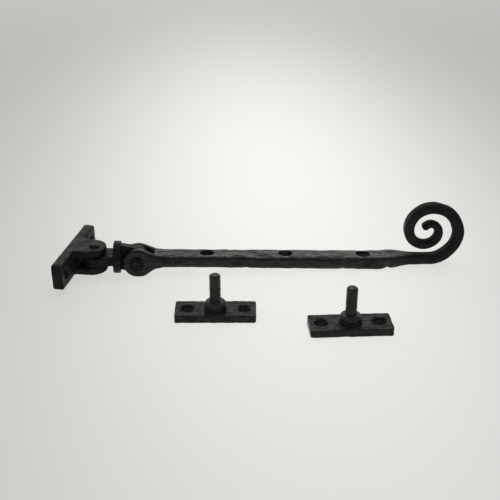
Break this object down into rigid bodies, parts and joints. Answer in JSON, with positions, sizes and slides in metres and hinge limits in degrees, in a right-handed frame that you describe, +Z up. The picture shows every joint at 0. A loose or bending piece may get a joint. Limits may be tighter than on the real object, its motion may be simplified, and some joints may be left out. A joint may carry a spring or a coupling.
{
  "type": "casement window stay",
  "caption": "Black iron casement stay: screw-on sash bracket, two-way knuckle, forked arm with peg holes and a rolled spiral end, with its separate peg plates for the sill.",
  "frame": {"origin": "middle of the whole set's footprint, on the surface the set lies on", "axes": "+X along the arm from the sash bracket to the rolled end, +Y away from the peg plates, +Z up"},
  "size_m": [0.2788, 0.1254, 0.0471],
  "materials": {
    "black_iron": "satin black paint or wax over a hammered cast surface",
    "pin_iron": "satin black, smoother than the castings, with rubbed peened ends"
  },
  "bodies": {
    "knuckle": {"knuckle": "black_iron"},
    "bracket": {"sash_bracket": "black_iron", "swing_pin": "pin_iron"},
    "arm": {"stay_arm": "black_iron", "lift_pin": "pin_iron", "lift_pin_washer_near": "black_iron", "lift_pin_washer_far": "black_iron"},
    "peg_1": {"peg_1_plate": "black_iron", "peg_1_pin": "pin_iron"},
    "peg_2": {"peg_2_plate": "black_iron", "peg_2_pin": "pin_iron"}
  },
  "joints": [
    {"name": "swing", "type": "hinge", "parent": "knuckle", "child": "bracket", "pos_m": [-0.11433, 0.02669, 0.01255], "axis": [0, 0, 1], "range_deg": [-72, 97]},
    {"name": "lift", "type": "hinge", "parent": "knuckle", "child": "arm", "pos_m": [-0.08653, 0.02669, 0.0094], "axis": [0, -1, 0], "range_deg": [-78, 55]},
    {"name": "peg_1_lift", "type": "slide", "parent": "knuckle", "child": "peg_1", "axis": [0, 0, 1], "range_m": [0, 0.05]},
    {"name": "peg_2_lift", "type": "slide", "parent": "knuckle", "child": "peg_2", "axis": [0, 0, 1], "range_m": [0, 0.05]}
  ]
}
